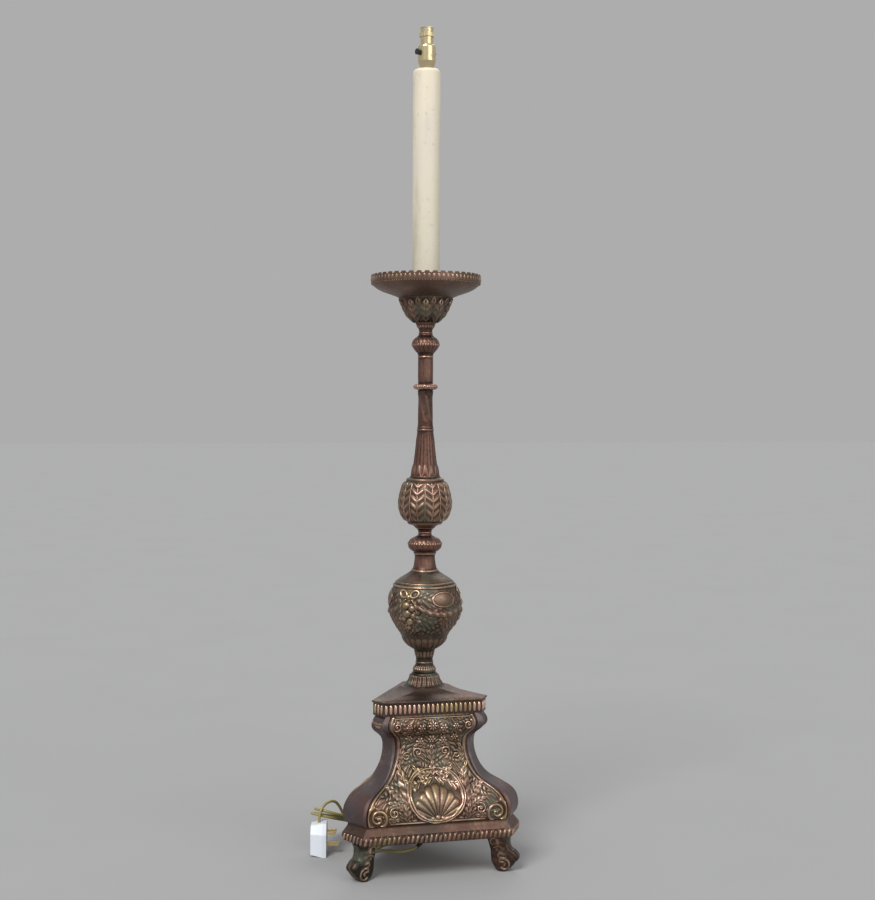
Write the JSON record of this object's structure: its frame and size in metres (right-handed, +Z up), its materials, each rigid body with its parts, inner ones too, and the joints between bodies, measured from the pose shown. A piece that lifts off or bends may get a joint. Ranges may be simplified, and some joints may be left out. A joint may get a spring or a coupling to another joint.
{
  "type": "candlestick floor lamp",
  "caption": "Floor lamp shaped as an altar candlestick: three-sided scroll-footed plinth, turned stem with vase, drip pan, candle sleeve and switched bayonet lampholder.",
  "frame": {"origin": "on the floor under the stem's axis", "axes": "+Z up along the stem, -Y out of the front panel, +Y to the back corner of the plinth"},
  "size_m": [0.3716, 0.3473, 1.5685],
  "materials": {
    "chased_copper": "chased copper alloy, patinated brown with worn highlights",
    "smooth_copper": "smooth patinated sheet",
    "core_wood": "raw",
    "steel": "plain",
    "candle_card": "ivory paint, matt",
    "holder_brass": "bright",
    "contact_brass": "bright",
    "black_moulding": "gloss",
    "olive_flex": "satin sheath",
    "tie_tape": "woven",
    "white_moulding": "satin"
  },
  "bodies": {
    "stand": {"base_board": "core_wood", "base_moulding": "chased_copper", "base_nut": "steel", "base_washer": "steel", "bulb_spool": "chased_copper", "calyx_cup": "chased_copper", "candle_sleeve": "candle_card", "cord_gland": "black_moulding", "cord_hank": "olive_flex", "cord_tail": "olive_flex", "corner_strap_back": "smooth_copper", "corner_strap_left": "smooth_copper", "corner_strap_right": "smooth_copper", "cornice_block": "core_wood", "cornice_lip": "chased_copper", "cup_neck": "chased_copper", "drip_pan": "chased_copper", "fluted_frieze": "chased_copper", "foot_back": "chased_copper", "foot_left": "chased_copper", "foot_right": "chased_copper", "foot_studs": "steel", "hank_tie": "tie_tape", "holder_barrel": "holder_brass", "holder_body": "holder_brass", "holder_cap": "holder_brass", "holder_insert": "black_moulding", "inner_flex": "olive_flex", "leaf_bulb": "chased_copper", "leaf_collar": "chased_copper", "lower_knop": "chased_copper", "pan_crown": "chased_copper", "panel_front": "chased_copper", "panel_left": "chased_copper", "panel_right": "chased_copper", "plinth_core": "core_wood", "plinth_roof": "chased_copper", "plug_base": "white_moulding", "plug_cover": "white_moulding", "plug_fuse": "contact_brass", "plug_lead": "olive_flex", "plug_pins": "contact_brass", "plug_screw": "steel", "plunger_spring_left": "steel", "plunger_spring_right": "steel", "ring_knop": "chased_copper", "sleeve_collar": "black_moulding", "sleeve_seat": "core_wood", "stem_tube": "steel", "switch_block": "black_moulding", "tapered_stem": "chased_copper", "upper_column": "chased_copper", "upper_knop": "chased_copper", "vase_body": "chased_copper", "vase_foot": "chased_copper", "vase_neck": "chased_copper"},
    "switch_bar": {"switch_bar": "black_moulding"},
    "shade_ring": {"shade_ring": "holder_brass"},
    "contact_left": {"contact_plunger_left": "contact_brass"},
    "contact_right": {"contact_plunger_right": "contact_brass"}
  },
  "joints": [
    {"name": "switch_push", "type": "slide", "parent": "stand", "child": "switch_bar", "axis": [0.9135, 0.4067, 0], "range_m": [0, 0.006]},
    {"name": "shade_spin", "type": "hinge", "parent": "stand", "child": "shade_ring", "pos_m": [0, 0, 1.554], "axis": [0, 0, 1], "continuous": true},
    {"name": "contact_left_press", "type": "slide", "parent": "stand", "child": "contact_left", "axis": [0, 0, -1], "range_m": [0, 0.003], "stiffness_N_per_m": 600, "springref_m": -0.0015, "deforming": ["plunger_spring_left"]},
    {"name": "contact_right_press", "type": "slide", "parent": "stand", "child": "contact_right", "axis": [0, 0, -1], "range_m": [0, 0.003], "stiffness_N_per_m": 600, "springref_m": -0.0015, "deforming": ["plunger_spring_right"]}
  ]
}
